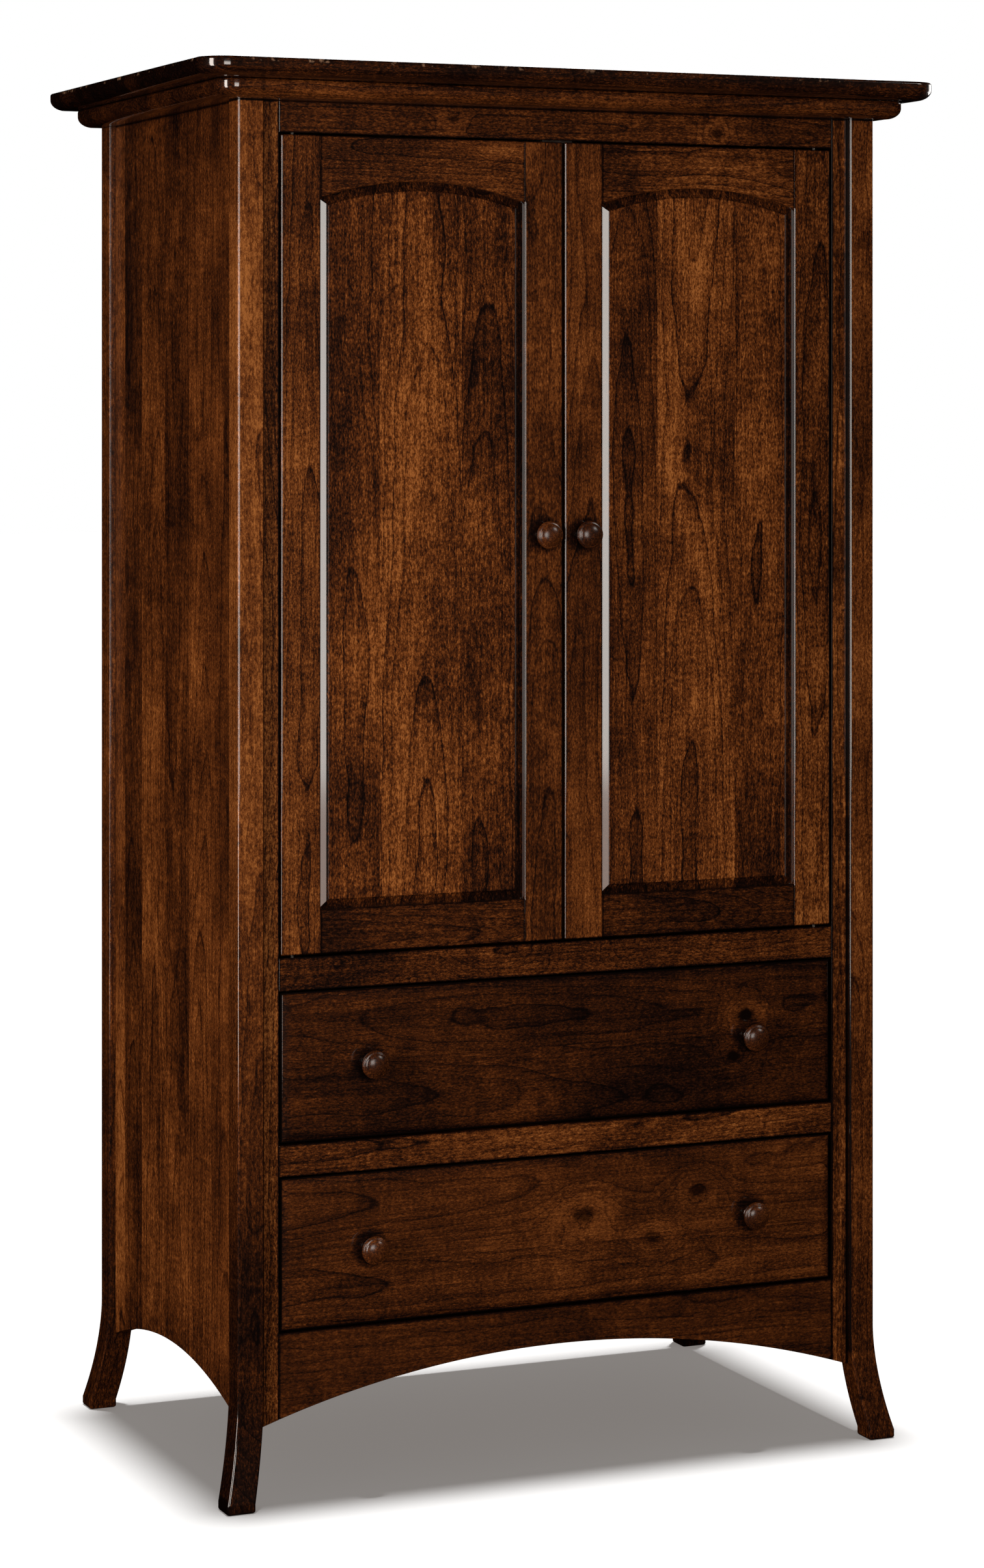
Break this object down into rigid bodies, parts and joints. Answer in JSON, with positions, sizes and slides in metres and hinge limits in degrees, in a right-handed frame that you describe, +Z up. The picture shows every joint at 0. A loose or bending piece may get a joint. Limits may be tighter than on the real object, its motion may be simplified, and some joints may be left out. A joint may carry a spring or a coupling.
{
  "type": "armoire",
  "caption": "Free-standing wooden wardrobe with arched frame-and-panel doors over drawers, a moulded double top and flared square feet.",
  "frame": {"origin": "on the floor, under the middle of the overall box", "axes": "+Z up, the doors and drawers face -Y, +X to the right of a person who faces them"},
  "size_m": [1.104, 0.692, 1.93],
  "materials": {
    "stained_cherry": "dark stain under satin lacquer",
    "knob_wood": "dark stain under satin lacquer, turned",
    "interior_wood": "clear satin lacquer",
    "steel": "satin",
    "catch_plastic": "matte"
  },
  "bodies": {
    "case": {"top_board": "stained_cherry", "sub_top_board": "stained_cherry", "leg_front_left": "stained_cherry", "leg_front_right": "stained_cherry", "leg_back_left": "stained_cherry", "leg_back_right": "stained_cherry", "side_panel_left": "stained_cherry", "side_panel_right": "stained_cherry", "face_stile_left": "stained_cherry", "face_stile_right": "stained_cherry", "top_rail": "stained_cherry", "middle_rail": "stained_cherry", "drawer_rail": "stained_cherry", "arched_apron": "stained_cherry", "back_panel": "interior_wood", "back_top_rail": "interior_wood", "back_bottom_rail": "interior_wood", "wardrobe_floor": "stained_cherry", "case_bottom": "interior_wood", "hat_shelf": "stained_cherry", "shelf_cleat_left": "interior_wood", "shelf_cleat_right": "interior_wood", "clothes_rod": "stained_cherry", "rod_cup_left": "steel", "rod_cup_right": "steel", "upper_runner_left": "interior_wood", "upper_runner_right": "interior_wood", "lower_runner_left": "interior_wood", "lower_runner_right": "interior_wood", "door_catch": "catch_plastic"},
    "door_left": {"door_left_hinge_stile": "stained_cherry", "door_left_knob_stile": "stained_cherry", "door_left_arched_rail": "stained_cherry", "door_left_bottom_rail": "stained_cherry", "door_left_panel": "stained_cherry", "door_left_knob": "knob_wood", "door_left_top_pin": "steel", "door_left_bottom_pin": "steel"},
    "door_right": {"door_right_hinge_stile": "stained_cherry", "door_right_knob_stile": "stained_cherry", "door_right_arched_rail": "stained_cherry", "door_right_bottom_rail": "stained_cherry", "door_right_panel": "stained_cherry", "door_right_knob": "knob_wood", "door_right_top_pin": "steel", "door_right_bottom_pin": "steel"},
    "drawer_upper": {"drawer_upper_front": "stained_cherry", "drawer_upper_left_side": "interior_wood", "drawer_upper_right_side": "interior_wood", "drawer_upper_back": "interior_wood", "drawer_upper_bottom": "interior_wood", "drawer_upper_left_knob": "knob_wood", "drawer_upper_right_knob": "knob_wood"},
    "drawer_lower": {"drawer_lower_front": "stained_cherry", "drawer_lower_left_side": "interior_wood", "drawer_lower_right_side": "interior_wood", "drawer_lower_back": "interior_wood", "drawer_lower_bottom": "interior_wood", "drawer_lower_left_knob": "knob_wood", "drawer_lower_right_knob": "knob_wood"}
  },
  "joints": [
    {"name": "door_left_hinge", "type": "hinge", "parent": "case", "child": "door_left", "pos_m": [-0.3958, -0.254, 1.28], "axis": [0, 0, -1], "range_deg": [0, 110]},
    {"name": "door_right_hinge", "type": "hinge", "parent": "case", "child": "door_right", "pos_m": [0.3958, -0.254, 1.28], "axis": [0, 0, 1], "range_deg": [0, 110]},
    {"name": "drawer_upper_slide", "type": "slide", "parent": "case", "child": "drawer_upper", "axis": [0, -1, 0], "range_m": [0, 0.4]},
    {"name": "drawer_lower_slide", "type": "slide", "parent": "case", "child": "drawer_lower", "axis": [0, -1, 0], "range_m": [0, 0.4]}
  ]
}
